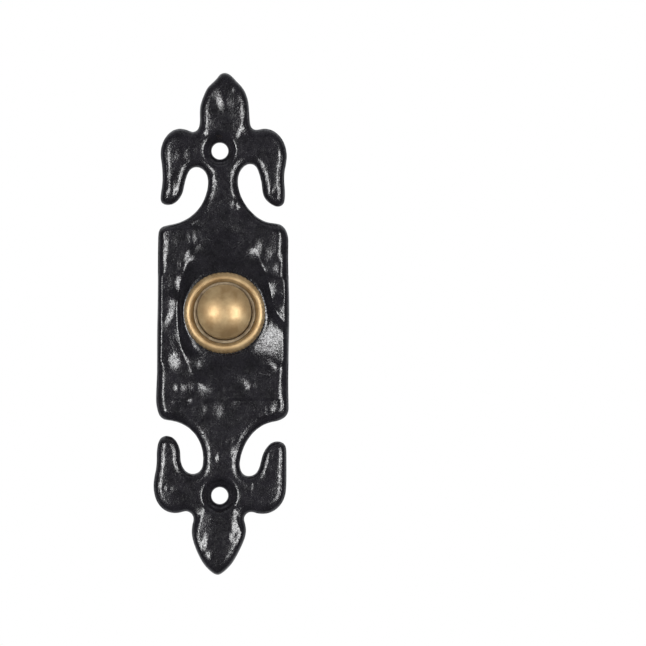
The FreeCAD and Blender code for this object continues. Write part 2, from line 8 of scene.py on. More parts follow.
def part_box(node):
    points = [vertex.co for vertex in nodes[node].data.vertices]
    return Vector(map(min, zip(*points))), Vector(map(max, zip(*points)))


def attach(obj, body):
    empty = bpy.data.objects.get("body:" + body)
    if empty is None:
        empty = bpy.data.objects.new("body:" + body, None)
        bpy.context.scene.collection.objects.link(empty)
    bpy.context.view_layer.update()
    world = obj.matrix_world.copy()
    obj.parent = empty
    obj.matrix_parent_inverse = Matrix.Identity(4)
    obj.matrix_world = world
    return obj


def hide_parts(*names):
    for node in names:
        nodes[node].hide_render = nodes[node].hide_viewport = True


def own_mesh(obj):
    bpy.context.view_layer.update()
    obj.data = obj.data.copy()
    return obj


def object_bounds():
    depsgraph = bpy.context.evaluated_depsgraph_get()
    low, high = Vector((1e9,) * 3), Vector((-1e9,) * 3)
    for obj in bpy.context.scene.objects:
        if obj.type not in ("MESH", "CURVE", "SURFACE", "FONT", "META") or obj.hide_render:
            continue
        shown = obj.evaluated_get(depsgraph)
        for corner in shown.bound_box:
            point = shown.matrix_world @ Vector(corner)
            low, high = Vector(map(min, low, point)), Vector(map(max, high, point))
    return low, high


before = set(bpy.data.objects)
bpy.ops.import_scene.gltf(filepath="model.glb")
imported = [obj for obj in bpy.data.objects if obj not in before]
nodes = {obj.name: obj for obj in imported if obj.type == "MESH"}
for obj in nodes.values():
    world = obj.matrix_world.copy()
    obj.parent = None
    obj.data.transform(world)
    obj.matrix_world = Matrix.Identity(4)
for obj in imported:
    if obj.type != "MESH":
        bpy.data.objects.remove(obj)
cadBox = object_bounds()
print("frame loaded:", len(nodes), "nodes")

mm = 0.001
weld = 1e-6                     # metres; vertices closer than this are joined
white = (1, 1, 1, 1)
scene = bpy.context.scene
scene.view_settings.view_transform = "Standard"


# the photograph's frame, in pixels and millimetres
photo = {
    "pixels": 646,
    "mmPerPixel": 0.27888,
    "pushColumn": 224.9,        # where the push's axis meets the plate
    "pushRow": 314.3,
    "cameraDistance": 2500,
    "lookUp": 2.6,              # degrees; the push shows a little more of its underside
    "sensor": 36,
    "clip": (0.05, 50),         # metres
}

# sizes in millimetres; a span holds the parts of a unit vector where a change starts and ends
studio = {
    "backgroundStrength": 1.0,
    "fillFront": 0.08,          # dark room round the camera
    "fillBack": 0.8,            # pale room behind the object
    "fillSpan": (-0.15, 0.7),
    "fillAbove": 0.42,          # pale ceiling
    "ceilingSpan": (0.4, 0.9),
    "wallSpan": (0.75, 0.98),   # straight behind the object, reflections see the white wall as well
    "fillColour": (0.94, 0.96, 1.0, 1),
    "lampDistance": 900,        # softboxes left and right of the camera
    "lampAngle": 23,
    "lampWidth": 240,
    "lampTall": 360,
    "lampPower": 3.8,
    "floorDrop": 145,           # floor below the plate's lower end
    "floorSize": 6000,
    "floorColour": (0.86, 0.86, 0.86, 1),
    "floorGlow": 0.72,          # for the camera alone
}


def makeTree(owner):
    owner.use_nodes = True
    owner.node_tree.nodes.clear()
    return owner.node_tree


def makeNode(tree, kind, inputs=None, **settings):
    node = tree.nodes.new(kind)
    for name, value in settings.items():
        setattr(node, name, value)
    for name, value in (inputs or {}).items():
        if isinstance(value, bpy.types.NodeSocket):
            tree.links.new(value, node.inputs[name])
        else:
            node.inputs[name].default_value = value
    return node


def mapRange(tree, value, source, result=(0, 1), kind="LINEAR"):
    return makeNode(tree, "ShaderNodeMapRange", {
        "Value": value, "From Min": source[0], "From Max": source[1],
        "To Min": result[0], "To Max": result[1]}, interpolation_type=kind).outputs["Result"]


def combine(tree, operation, first, second):
    return makeNode(tree, "ShaderNodeMath", {0: first, 1: second}, operation=operation).outputs[0]


def mixShaders(tree, share, first, second):
    return makeNode(tree, "ShaderNodeMixShader", {"Fac": share, 1: first, 2: second}).outputs[0]


def makeCamera():
    span = photo["pixels"] * photo["mmPerPixel"]
    centre = photo["pixels"] / 2
    target = Vector(((centre - photo["pushColumn"]) * photo["mmPerPixel"], 0,
                     (photo["pushRow"] - centre) * photo["mmPerPixel"])) * mm
    tilt = math.radians(photo["lookUp"])
    away = Vector((0, -math.cos(tilt), -math.sin(tilt))) * photo["cameraDistance"] * mm
    camera = bpy.data.cameras.new("camera")
    camera.sensor_width = photo["sensor"]
    camera.lens = photo["sensor"] * photo["cameraDistance"] / span
    camera.clip_start, camera.clip_end = photo["clip"]
    obj = bpy.data.objects.new("camera", camera)
    obj.location = target + away
    obj.rotation_euler = (math.radians(90) + tilt, 0, 0)
    scene.collection.objects.link(obj)
    scene.camera = obj
    print("camera at", [round(v, 3) for v in obj.location])


def makeSoftbox(name, side):
    s = studio
    angle = math.radians(s["lampAngle"])
    light = bpy.data.lights.new(name, "AREA")
    light.shape = "RECTANGLE"
    light.size = s["lampWidth"] * mm
    light.size_y = s["lampTall"] * mm
    light.energy = s["lampPower"]
    place = (side * math.sin(angle) * s["lampDistance"], -math.cos(angle) * s["lampDistance"], 0)
    obj = bpy.data.objects.new(name, light)
    obj.location = Vector(place) * mm
    obj.rotation_euler = (-obj.location).to_track_quat("-Z", "Y").to_euler()
    scene.collection.objects.link(obj)


def makeWorld():
    # white for the camera, a grey room for the light and for most reflections
    s = studio
    world = bpy.data.worlds.new("studio")
    scene.world = world
    tree = makeTree(world)
    path = makeNode(tree, "ShaderNodeLightPath").outputs
    direction = makeNode(tree, "ShaderNodeTexCoord").outputs["Generated"]
    along = makeNode(tree, "ShaderNodeSeparateXYZ", {"Vector": direction}).outputs
    behind = mapRange(tree, along["Y"], s["wallSpan"], kind="SMOOTHSTEP")
    mirrored = combine(tree, "MULTIPLY", path["Is Glossy Ray"], behind)
    seen = combine(tree, "MAXIMUM", path["Is Camera Ray"], path["Is Transmission Ray"])
    shown = combine(tree, "MAXIMUM", seen, mirrored)
    room = mapRange(tree, along["Y"], s["fillSpan"], (s["fillFront"], s["fillBack"]), "SMOOTHSTEP")
    ceiling = mapRange(tree, along["Z"], s["ceilingSpan"], (0, s["fillAbove"]), "SMOOTHSTEP")
    total = combine(tree, "ADD", room, ceiling)
    fill = makeNode(tree, "ShaderNodeBackground", {"Color": s["fillColour"], "Strength": total})
    bright = makeNode(tree, "ShaderNodeBackground", {"Color": white, "Strength": s["backgroundStrength"]})
    mixed = mixShaders(tree, shown, fill.outputs[0], bright.outputs[0])
    makeNode(tree, "ShaderNodeOutputWorld", {"Surface": mixed})


def makeFloor():
    s = studio
    material = bpy.data.materials.new("paleFloor")
    tree = makeTree(material)
    cameraRay = makeNode(tree, "ShaderNodeLightPath").outputs["Is Camera Ray"]
    paper = makeNode(tree, "ShaderNodeBsdfDiffuse", {"Color": s["floorColour"]}).outputs[0]
    glow = makeNode(tree, "ShaderNodeEmission", {"Color": white, "Strength": s["floorGlow"]}).outputs[0]
    lit = makeNode(tree, "ShaderNodeAddShader", {0: paper, 1: glow}).outputs[0]
    mixed = mixShaders(tree, cameraRay, paper, lit)
    makeNode(tree, "ShaderNodeOutputMaterial", {"Surface": mixed})
    bm = bmesh.new()
    bmesh.ops.create_grid(bm, x_segments=1, y_segments=1, size=s["floorSize"] * mm / 2)
    bmesh.ops.translate(bm, verts=bm.verts, vec=(0, 0, cadBox[0][2] - s["floorDrop"] * mm))
    mesh = bpy.data.meshes.new("floor")
    bm.to_mesh(mesh)
    bm.free()
    mesh.materials.append(material)
    floor = bpy.data.objects.new("floor", mesh)
    scene.collection.objects.link(floor)
    floor.visible_glossy = False


def makeStudio():
    makeSoftbox("softboxLeft", -1)
    makeSoftbox("softboxRight", 1)
    makeWorld()
    makeFloor()
    print("studio ready")


# every finish reads Object coordinates; scales are in details per metre, depths in millimetres
finishes = {
    "blackCasting": {"dark": (0.0065, 0.006, 0.0075), "light": (0.0125, 0.0115, 0.0145), "patch": 260,
                     "metallic": 0.0, "smooth": 0.12, "rough": 0.22, "grain": 2200, "grainDepth": 0.04,
                     "lump": 620, "lumpDepth": 0.008, "gleam": (0.14, 0.9), "gleamSize": 2100},
    "polishedBrass": {"dark": (0.32, 0.205, 0.095), "light": (0.47, 0.335, 0.175), "patch": 240,
                      "metallic": 0.68, "smooth": 0.36, "rough": 0.44, "grain": 3600, "grainDepth": 0.006,
                      "lump": 900, "lumpDepth": 0.008, "lines": 3400, "lineDepth": 0.0025},
    "agedBrass": {"dark": (0.21, 0.125, 0.045), "light": (0.5, 0.35, 0.15), "patch": 420,
                  "metallic": 1.0, "smooth": 0.26, "rough": 0.48, "grain": 3000, "grainDepth": 0.008,
                  "lump": 800, "lumpDepth": 0.01, "lines": 2800, "lineDepth": 0.004},
    "neckBrass": {"dark": (0.14, 0.1, 0.06), "light": (0.27, 0.21, 0.135), "patch": 420,
                  "metallic": 0.7, "smooth": 0.4, "rough": 0.55, "grain": 3000, "grainDepth": 0.006,
                  "lump": 800, "lumpDepth": 0.008},
    "brightBrass": {"dark": (0.5, 0.34, 0.13), "light": (0.7, 0.51, 0.24), "patch": 500,
                    "metallic": 1.0, "smooth": 0.2, "rough": 0.34, "grain": 3000, "grainDepth": 0.004,
                    "lump": 900, "lumpDepth": 0.004},
    "whiteCeramic": {"dark": (0.6, 0.6, 0.57), "light": (0.84, 0.835, 0.8), "patch": 330,
                     "metallic": 0.0, "smooth": 0.32, "rough": 0.62, "grain": 2600, "grainDepth": 0.03,
                     "lump": 700, "lumpDepth": 0.07},
    "darkFibre": {"dark": (0.012, 0.011, 0.01), "light": (0.035, 0.03, 0.026), "patch": 700,
                  "metallic": 0.0, "smooth": 0.7, "rough": 0.95, "grain": 3000, "grainDepth": 0.03,
                  "lump": 900, "lumpDepth": 0.02},
    "brownBoard": {"dark": (0.05, 0.024, 0.012), "light": (0.12, 0.06, 0.028), "patch": 600,
                   "metallic": 0.0, "smooth": 0.5, "rough": 0.75, "grain": 3000, "grainDepth": 0.02,
                   "lump": 900, "lumpDepth": 0.02},
    "springWire": {"dark": (0.25, 0.25, 0.26), "light": (0.5, 0.5, 0.52), "patch": 900,
                   "metallic": 1.0, "smooth": 0.22, "rough": 0.4, "grain": 3500, "grainDepth": 0.003,
                   "lump": 1200, "lumpDepth": 0.003},
}
# what all finishes share; a span is the part of a noise's values over which a change takes place
finishNoise = {
    "patchDetail": 6,
    "patchRoughness": 0.62,
    "colourSpan": (0.36, 0.62),
    "wearFiner": 2.7,           # wear is finer than the patches of colour
    "wearDetail": 4,
    "wearRoughness": 0.6,
    "wearSpan": (0.3, 0.7),
    "lumpDetail": 3,
    "grainDetail": 2,
    "sandDetail": 3,
    "sandRoughness": 0.7,
    "sandSpan": (0.36, 0.64),
    "lineDivisor": 6.3,         # from lines per metre to the wave texture's scale
    "lineDistortion": 0.6,
    "lineDetail": 2,
}
materials = {}


def noiseValue(tree, place, scale, detail, roughness=0.5):
    return makeNode(tree, "ShaderNodeTexNoise", {
        "Vector": place, "Scale": scale, "Detail": detail, "Roughness": roughness}).outputs["Fac"]


def bumpNormal(tree, height, depth, normal=None):
    inputs = {"Height": height, "Strength": 1.0, "Distance": depth * mm}
    if normal is not None:
        inputs["Normal"] = normal
    return makeNode(tree, "ShaderNodeBump", inputs).outputs["Normal"]


def makeFinish(name):
    look = finishes[name]
    shared = finishNoise
    material = bpy.data.materials.new(name)
    tree = makeTree(material)
    place = makeNode(tree, "ShaderNodeTexCoord").outputs["Object"]
    patches = noiseValue(tree, place, look["patch"], shared["patchDetail"], shared["patchRoughness"])
    colours = makeNode(tree, "ShaderNodeValToRGB", {"Fac": patches})
    for i, colour in enumerate((look["dark"], look["light"])):
        stop = colours.color_ramp.elements[i]
        stop.position = shared["colourSpan"][i]
        stop.color = (*colour, 1)
    wear = noiseValue(tree, place, look["patch"] * shared["wearFiner"], shared["wearDetail"],
                      shared["wearRoughness"])
    sheen = mapRange(tree, wear, shared["wearSpan"], (look["smooth"], look["rough"]))
    lumps = noiseValue(tree, place, look["lump"], shared["lumpDetail"])
    grain = noiseValue(tree, place, look["grain"], shared["grainDetail"])
    normal = bumpNormal(tree, lumps, look["lumpDepth"])
    normal = bumpNormal(tree, grain, look["grainDepth"], normal)
    if "lines" in look:  # turning marks round the push's axis
        marks = makeNode(tree, "ShaderNodeTexWave", {
            "Vector": place, "Scale": look["lines"] / shared["lineDivisor"],
            "Distortion": shared["lineDistortion"], "Detail": shared["lineDetail"]},
            wave_type="RINGS", rings_direction="Y", wave_profile="SIN")
        normal = bumpNormal(tree, marks.outputs["Fac"], look["lineDepth"], normal)
    surface = makeNode(tree, "ShaderNodeBsdfPrincipled", {
        "Base Color": colours.outputs["Color"], "Metallic": look["metallic"], "Roughness": sheen,
        "Normal": normal})
    if "gleam" in look:  # sandy skin: some grains shine, others don't
        sand = noiseValue(tree, place, look["gleamSize"], shared["sandDetail"], shared["sandRoughness"])
        gleam = mapRange(tree, sand, shared["sandSpan"], look["gleam"])
        tree.links.new(gleam, surface.inputs["Specular IOR Level"])
    makeNode(tree, "ShaderNodeOutputMaterial", {"Surface": surface.outputs[0]})
    materials[name] = material


def addPiece(name, bm, finish, body, replaced, sharpAngle=35):
    mesh = bpy.data.meshes.new(name)
    bm.to_mesh(mesh)
    bm.free()
    mesh.materials.append(materials[finish])
    mesh.polygons.foreach_set("use_smooth", [True] * len(mesh.polygons))
    mesh.set_sharp_from_angle(angle=math.radians(sharpAngle))
    piece = bpy.data.objects.new(name, mesh)
    scene.collection.objects.link(piece)
    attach(piece, body)
    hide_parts(replaced)
    print(name, "has", len(mesh.polygons), "faces")
    return piece


def spinProfile(points, steps, closed=True):
    # points are (radius, place along Y) in millimetres
    bm = bmesh.new()
    verts = [bm.verts.new((radius * mm, y * mm, 0)) for radius, y in points]
    edges = [bm.edges.new(pair) for pair in zip(verts, verts[1:])]
    if closed:
        edges.append(bm.edges.new((verts[-1], verts[0])))
    bmesh.ops.spin(bm, geom=verts + edges, cent=(0, 0, 0), axis=(0, 1, 0), angle=2 * math.pi,
                   steps=steps, use_merge=True)
    bmesh.ops.remove_doubles(bm, verts=bm.verts, dist=weld)
    bmesh.ops.recalc_face_normals(bm, faces=bm.faces)
    return bm


def roundEdges(bm, width, angle, segments):
    # edges that turn by more than the angle, in degrees
    sharp = [edge for edge in bm.edges if len(edge.link_faces) == 2
             and edge.calc_face_angle(0) > math.radians(angle)]
    bmesh.ops.bevel(bm, geom=sharp, offset=width * mm, segments=segments, profile=0.5, affect="EDGES",
                    clamp_overlap=True, material=-1)


def smoothVerts(bm, verts, factor=0.5, times=1, sideways=True):
    # sideways lets them move across and up too, and not only along Y
    for _ in range(times):
        bmesh.ops.smooth_vert(bm, verts=verts, factor=factor, use_axis_x=sideways, use_axis_y=True,
                              use_axis_z=sideways)


def millimetres(node):
    low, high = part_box(node)
    return [v / mm for v in low], [v / mm for v in high]


def copyNode(node):
    bm = bmesh.new()
    bm.from_mesh(nodes[node].data)
    bmesh.ops.remove_doubles(bm, verts=bm.verts, dist=weld)
    return bm


def remeshNode(node, voxel):
    bm = copyNode(node)
    mesh = bpy.data.meshes.new("blank")
    bm.to_mesh(mesh)
    bm.free()
    blank = bpy.data.objects.new("blank", mesh)
    scene.collection.objects.link(blank)
    remesh = blank.modifiers.new("voxels", "REMESH")
    remesh.mode = "VOXEL"
    remesh.voxel_size = voxel * mm
    remesh.adaptivity = 0
    done = bpy.data.meshes.new_from_object(blank.evaluated_get(bpy.context.evaluated_depsgraph_get()))
    bpy.data.objects.remove(blank)
    bm = bmesh.new()
    bm.from_mesh(done)
    bpy.data.meshes.remove(done)
    return bm


# the casting; places are (across, up) from the push's axis in millimetres
plateLook = {
    "voxel": 0.42,
    "soften": 3,                # rounds of smoothing over the blank
    "finish": 0.25,             # share of a last, lighter round over the whole casting
    "face": -4.7,
    "holes": [(-1.4, 45.5), (-1.4, -50.6)],
    "easeCutoff": 2.5,          # in reaches
    # the rim, which a place's distance from the edge is measured to
    "rimNormal": 0.35,
    "rimFront": -2.2,
    "rimClear": 13,             # leaves out the hole for the push
    # the front and how it blends into the sides
    "frontNormal": 0.2,
    "frontBlend": 0.3,
    # edges
    "bevel": 1.4,               # the blank's own bevel, which the roll takes the place of
    "rollMiddle": 2.3,          # radius that the edges roll over with
    "rollFleur": 2.1,
    "rollSwell": 0.5,           # added, times the swelling's height there
    "tighter": 1.1,             # a creased roll is smaller by this times the crease's slope
    "creaseFrom": 12,
    "creaseFade": 1.5,
    # fleurs
    "middle": -2,               # height of the casting's middle
    "fleurFrom": 27,            # beyond this distance from it the plate is a fleur
    "fleurBlend": 4,
    "fleurCalm": 0.5,           # share of the lumps that a fleur loses
    "crown": 0.16,              # fleurs are a little domed
    "crownReach": 6,
    "innerFrom": 1.9,           # distance from the edge beyond which a fleur's face is smoothed
    "innerSoften": 6,
    "innerHole": 5.6,           # distance from a screw hole's middle, likewise
    # swelling round the push
    "swellRise": 2.0,
    "swellSeat": 11.7,
    "swellWide": 13.1,
    "swellLobe": (-33, 24, 10.4),    # direction and spread in degrees, and how much wider it is there
    "swellTall": 23.0,
    "swellReach": 24,
    "swellStraight": 0.75,      # the rest of its slope eases in and out
    # lumps, and where the ring's seat and the screw holes keep them away
    "lumpSize": 7.5,
    "lumpHeight": 0.22,
    "rippleSize": 2.6,
    "rippleHeight": 0.044,
    "noiseLayer": 3.7,
    "calmBlend": 1.2,
    "seatBlend": 0.8,
    "holeCalm": 4.4,
    "holeEdge": 2.6,
    "holeBlend": 1.6,
    "holeReach": 6,
    # raised buds: step at their edge, and crown
    "leafStep": 0.16,
    "leafCrown": 0.15,
    "leafEdge": 0.9,
    "leafStart": 2,
    # foot's middle and height, half width there, widening per millimetre, direction
    "leaves": [((-0.6, 47.4), 3.7, 0.46, 1), ((-1.7, -52.6), 4.1, 0.36, -1)],
    # worn flats fade out across and up at these shares of their half sizes
    "flatFade": (1.9, 1.25),
    "flatCutoff": 3,
}
# stretches of the long edges where the roll starts with a crease: side, middle, half length, slope
creases = [(-1, -1.5, 12.5, 0.45), (-1, 24.5, 4.0, 0.3), (1, -2.0, 12.0, 0.4)]
# worn flats that catch a softbox: across, up, half width, half height, turn in degrees, tilt (+ faces right)
flats = [
    (-1.2, 58.9, 1.0, 2.2, -14, -0.2), (2.8, 63.0, 0.5, 1.0, 25, 0.2), (-15.8, 44.6, 0.5, 1.8, 0, -0.1),
    (-10.8, 44.8, 1.2, 1.2, -30, 0.15), (15.7, 45.6, 0.5, 1.0, 10, 0.14), (13.3, 34.3, 0.6, 1.2, 15, 0.2),
    (-14.2, 35.2, 0.5, 1.6, -10, 0.18), (2.6, 34.6, 0.6, 1.6, 5, 0.16), (3.7, 30.1, 0.7, 1.2, 30, 0.2),
    (-3.9, 38.3, 0.6, 1.2, 35, -0.16), (-8.4, 21.3, 0.7, 2.0, -8, -0.2), (-10.4, 16.5, 0.6, 1.1, 25, -0.26),
    (-16.3, 16.4, 0.45, 3.4, 4, -0.17), (-14.2, 14.6, 0.9, 1.1, 30, -0.13), (9.3, 17.8, 1.2, 1.6, 35, 0.22),
    (15.6, 18.6, 0.6, 3.6, 4, 0.19), (13.4, 14.4, 0.7, 2.0, 35, 0.2), (0.9, 19.3, 0.8, 0.9, 0, -0.13),
    (16.1, 11.6, 0.4, 0.9, 0, 0.2), (-15.4, -1.0, 0.8, 1.9, 30, -0.22), (-14.8, -7.0, 1.0, 1.8, 0, -0.06),
    (-12.2, -8.0, 0.6, 2.8, -27, -0.12), (-14.1, -13.2, 1.6, 1.7, 10, -0.22),
    (-9.6, -10.8, 0.6, 0.8, -20, -0.12), (12.6, -8.2, 2.0, 3.4, -18, 0.05), (13.2, 2.6, 0.6, 2.2, -8, 0.04),
    (13.6, -14.6, 0.6, 1.4, -40, 0.17), (15.6, -19.8, 0.5, 4.4, 4, 0.17), (6.7, -13.7, 0.6, 1.6, 35, 0.13),
    (-13.7, -20.8, 0.8, 1.0, 0, -0.24), (6.5, -20.1, 0.7, 0.8, 0, 0.22), (0.0, -21.0, 0.5, 1.0, -10, -0.15),
    (11.5, -27.1, 0.7, 0.9, -20, 0.22), (9.4, -27.0, 0.5, 0.7, 0, 0.16), (-7.0, -26.7, 0.6, 0.8, 0, -0.16),
    (-9.6, -24.0, 0.7, 0.6, 0, -0.1), (2.2, -38.0, 0.5, 1.2, 20, 0.2), (0.8, -35.6, 0.7, 0.9, 0, 0.14),
    (-2.1, -40.2, 0.5, 0.9, 10, -0.2), (-5.5, -63.5, 0.6, 1.6, 8, -0.22), (2.8, -59.8, 0.8, 1.9, 0, 0.18),
    (1.8, -62.4, 0.6, 1.0, -25, 0.2), (-4.7, -67.6, 0.6, 0.9, 30, -0.18), (-16.3, -48.7, 0.4, 0.5, 0, -0.24),
    (-14.7, -48.8, 0.4, 0.5, 0, -0.26), (-12.0, 10.8, 1.8, 1.4, 90, -0.2), (-13.4, 5.4, 1.8, 1.4, 90, -0.2),
    (12.0, 9.8, 1.9, 1.8, 90, -0.2), (14.4, 3.6, 1.9, 1.8, 90, -0.2), (-7.6, -18.0, 1.6, 1.6, 90, 0.2),
    (13.0, -39.5, 0.8, 1.3, 0, 0.18), (11.9, -43.6, 0.6, 1.6, 0, 0.13), (7.6, -48.2, 0.6, 1.6, 0, -0.14),
]
# places where the outline is eased outwards: across, up, move across, move up, reach
eased = [(1.9, 65.4, 0.34, 0.3, 1.7), (-4.4, 62.8, -0.38, 0.26, 2.3)]


def smoothStep(value):
    value = max(0.0, min(1.0, value))
    return value * value * (3 - 2 * value)


def holeDistance(x, z):
    return min(math.hypot(x - across, z - up) for across, up in plateLook["holes"])


def leafHeight(x, z):
    look = plateLook
    height = 0.0
    for (middle, foot), half, widening, way in look["leaves"]:
        along = (z - foot) * way
        if along < 0:
            continue
        half += widening * along
        inside = half - abs(x - middle)
        if inside > 0:
            start = smoothStep(along / look["leafStart"])
            crown = 1 - ((x - middle) / half) ** 2
            height = (smoothStep(inside / look["leafEdge"]) * look["leafStep"]
                      + look["leafCrown"] * crown * crown) * start
    return height


def flatHeight(x, z):
    fadeWide, fadeTall = plateLook["flatFade"]
    height = 0.0
    for across, up, halfWide, halfTall, turn, tilt in flats:
        dx, dz = x - across, z - up
        if abs(dx) + abs(dz) > plateLook["flatCutoff"] * (halfWide + halfTall):
            continue
        turn = math.radians(turn)
        u = dx * math.cos(turn) - dz * math.sin(turn)
        v = dx * math.sin(turn) + dz * math.cos(turn)
        height -= tilt * u * math.exp(-(u / halfWide / fadeWide) ** 2 - (v / halfTall / fadeTall) ** 2)
    return height


def creaseSlope(x, z):
    slope = 0.0
    for side, middle, half, most in creases:
        if x * side > plateLook["creaseFrom"]:
            share = smoothStep((half - abs(z - middle)) / plateLook["creaseFade"] + 0.5)
            slope = max(slope, most * share)
    return slope


def swellHeight(x, z):
    look = plateLook
    away = math.hypot(x, z)
    middle, spread, more = look["swellLobe"]
    turn = (math.degrees(math.atan2(z, x)) - middle + 180) % 360 - 180
    wide = look["swellWide"] + more * math.exp(-(turn / spread) ** 2)
    edge = 1 / math.hypot(x / away / wide, z / away / look["swellTall"])
    fall = min(1.0, max(0.0, (away - look["swellSeat"]) / (edge - look["swellSeat"])))
    straight = look["swellStraight"]
    return look["swellRise"] * (1 - straight * fall - (1 - straight) * smoothStep(fall))


def edgeFall(fromEdge, fleur, swell, crease):
    # how far the face falls back from its level, over what the blank's bevel does
    look = plateLook
    roll = look["rollMiddle"] + (look["rollFleur"] - look["rollMiddle"]) * fleur + look["rollSwell"] * swell
    roll *= 1 - look["tighter"] * crease
    short = max(0.0, roll - fromEdge)
    fall = roll - math.sqrt(max(0.0, roll * roll - short * short)) - max(0.0, look["bevel"] - fromEdge)
    fall += crease * short
    fall += fleur * look["crown"] * (1 - smoothStep(fromEdge / look["crownReach"]))
    return fall


def reliefHeight(x, z, fleur):
    look = plateLook
    spot = Vector((x, z, look["noiseLayer"]))
    relief = look["lumpHeight"] * noise.noise(spot / look["lumpSize"])
    relief += look["rippleHeight"] * noise.noise(spot / look["rippleSize"])
    relief *= 1 - look["fleurCalm"] * fleur
    return relief + flatHeight(x, z) + leafHeight(x, z) * fleur


def easeOutline(bm):
    for vert in bm.verts:
        for across, up, moveX, moveZ, reach in eased:
            away = math.hypot(vert.co.x / mm - across, vert.co.z / mm - up) / reach
            if away < plateLook["easeCutoff"]:
                share = math.exp(-away * away)
                vert.co.x += moveX * share * mm
                vert.co.z += moveZ * share * mm


def rimTree(bm):
    look = plateLook
    rim = [v.co for v in bm.verts if abs(v.normal.y) < look["rimNormal"] and v.co.y > look["rimFront"] * mm]
    rim = [co for co in rim if math.hypot(co.x, co.z) > look["rimClear"] * mm]
    tree = kdtree.KDTree(len(rim))
    for i, co in enumerate(rim):
        tree.insert((co.x, 0, co.z), i)
    tree.balance()
    return tree


def makePlate():
    look = plateLook
    bm = remeshNode("backplate", look["voxel"])
    smoothVerts(bm, bm.verts, times=look["soften"])
    easeOutline(bm)
    bm.normal_update()
    rim = rimTree(bm)
    front = [v for v in bm.verts if v.normal.y < -look["frontNormal"]]
    detail = {}
    for vert in front:
        x, z = vert.co.x / mm, vert.co.z / mm
        y = vert.co.y / mm
        away = math.hypot(x, z)
        fromSeat = away - look["swellSeat"]
        fromEdge = rim.find((vert.co.x, 0, vert.co.z))[2] / mm
        fleur = smoothStep((abs(z - look["middle"]) - look["fleurFrom"]) / look["fleurBlend"])
        hole = holeDistance(x, z)
        swell = 0.0
        if away > look["swellSeat"] and abs(z) < look["swellReach"]:
            swell = swellHeight(x, z)
            y = look["face"] - swell + max(0.0, look["bevel"] - fromEdge)
        crease = creaseSlope(x, z) * (1 - fleur)
        fall = edgeFall(fromEdge, fleur, swell, crease)
        if hole < look["holeReach"]:
            near = smoothStep((hole - look["holeEdge"]) / look["holeBlend"])
        else:
            near = smoothStep(fromSeat / look["seatBlend"])
        calm = smoothStep(fromSeat / look["calmBlend"])
        calm *= smoothStep((hole - look["holeCalm"]) / look["calmBlend"])
        frontShare = smoothStep((-vert.normal.y - look["frontNormal"]) / look["frontBlend"])
        vert.co.y = (vert.co.y / mm * (1 - frontShare) + (y + fall * near) * frontShare) * mm
        detail[vert.index] = reliefHeight(x, z, fleur) * calm * frontShare
    inner = [v for v in front if rim.find((v.co.x, 0, v.co.z))[2] > look["innerFrom"] * mm
             and abs(v.co.z / mm - look["middle"]) > look["fleurFrom"]
             and holeDistance(v.co.x / mm, v.co.z / mm) > look["innerHole"]]
    smoothVerts(bm, inner, times=look["innerSoften"], sideways=False)
    for vert in front:
        vert.co.y -= detail[vert.index] * mm
    smoothVerts(bm, bm.verts, factor=look["finish"])
    addPiece("castPlate", bm, "blackCasting", "bell_plate", "backplate", 80)


# the push, in millimetres
capLook = {
    "steps": 160,
    "domeRadius": 14.7,
    "domeRings": 22,
    "capRadius": 7.5,
    "step": 0.35,               # smaller where the flange's ring sits
    "wall": 0.7,
    "crown": 0.6,               # hollow's end behind the shoulder
    "stem": 1.8,
    "stud": 0.8,
    "rounding": 0.45,
}


def makeCap():
    look = capLook
    low, high = millimetres("push_cap")
    tip, end = low[1], high[1]
    flangeFront, flangeBack = (corner[1] for corner in millimetres("push_flange"))
    stemEnd = millimetres("insulating_washer")[0][1]
    radius = look["domeRadius"]
    cap = look["capRadius"]
    stepped = cap - look["step"]
    hollow = cap - look["wall"]
    hollowEnd = tip + radius - math.sqrt(radius ** 2 - cap ** 2) + look["crown"]
    points = []
    for i in range(look["domeRings"] + 1):
        across = cap * i / look["domeRings"]
        points.append((across, tip + radius - math.sqrt(radius ** 2 - across ** 2)))
    points += [
        (cap, flangeFront), (stepped, flangeFront), (stepped, flangeBack), (hollow, flangeBack),
        (hollow, hollowEnd), (look["stem"], hollowEnd), (look["stem"], stemEnd), (look["stud"], stemEnd),
        (look["stud"], end), (0, end)]
    bm = spinProfile(points, look["steps"], closed=False)
    roundEdges(bm, look["rounding"], angle=20, segments=4)
    addPiece("domedCap", bm, "polishedBrass", "push", "push_cap")


# the ring nut, in millimetres; depths are behind its face
ringLook = {
    "bore": 8.6,
    "boreDepth": 0.45,
    "innerFlat": 8.65,
    "innerDepth": 0.42,
    "crestRadius": 9.55,
    "crestWidth": 0.25,         # the crest's inner side
    "crestDepth": 0.06,
    "bevelDepth": 0.95,
    "bevelRings": 7,
    "rearChamfer": 0.3,
    "bands": 16,
    "ridges": 54,
    "stepsPerRidge": 8,
    "ridgeDepth": 0.26,
    "ridgePower": 0.8,          # below 1 the grooves are narrow
    "ridgesFrom": 10.55,
    "ridgesBlend": 0.6,
    "slant": 12,                # degrees from face to seat
    "unevenness": 0.3,
    "unevenScale": 1.1,
}


